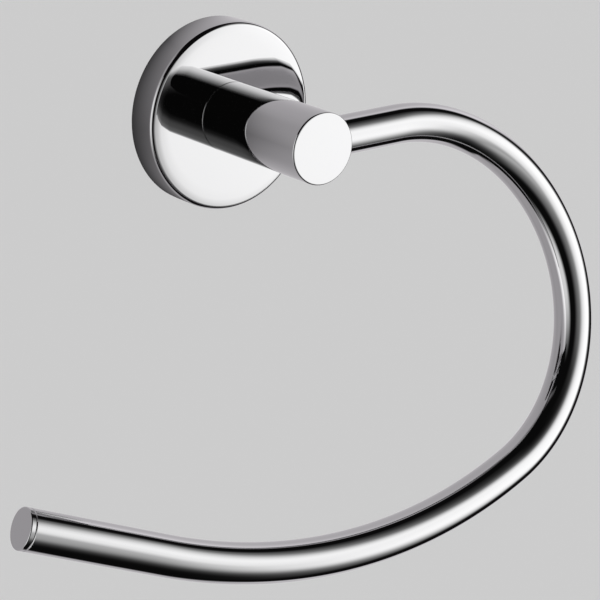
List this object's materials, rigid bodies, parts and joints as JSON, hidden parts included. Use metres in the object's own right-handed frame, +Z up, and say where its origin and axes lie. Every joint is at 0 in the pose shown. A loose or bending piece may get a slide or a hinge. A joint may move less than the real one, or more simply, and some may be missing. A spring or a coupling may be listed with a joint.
{
  "type": "towel ring",
  "caption": "Wall-mounted open towel ring: a bent round tube leaves the side of a short post on a round wall flange and sweeps down and back to a capped free end.",
  "frame": {"origin": "centre of the wall flange and of the two wall screw slots, on the wall", "axes": "+Y into the wall, +Z up, +X to the right for someone who faces the wall; the ring stands out towards -Y"},
  "size_m": [0.2174, 0.0957, 0.1487],
  "materials": {
    "chrome_plate": "mirror-bright chrome plate on brass",
    "zinc_casting": "plain die-cast zinc, dull grey, slightly grained",
    "zinc_plated_steel": "bright zinc-plated steel",
    "stainless_steel": "plain stainless steel"
  },
  "bodies": {
    "root": {"wall_bracket": "zinc_casting", "wall_flange": "chrome_plate", "post": "chrome_plate", "ring_tube": "chrome_plate", "tube_end_cap": "chrome_plate", "post_screw": "zinc_plated_steel", "post_flat_washer": "zinc_plated_steel", "post_spring_washer": "zinc_plated_steel", "flange_grub_screw": "stainless_steel", "tube_grub_screw": "stainless_steel"}
  },
  "joints": []
}
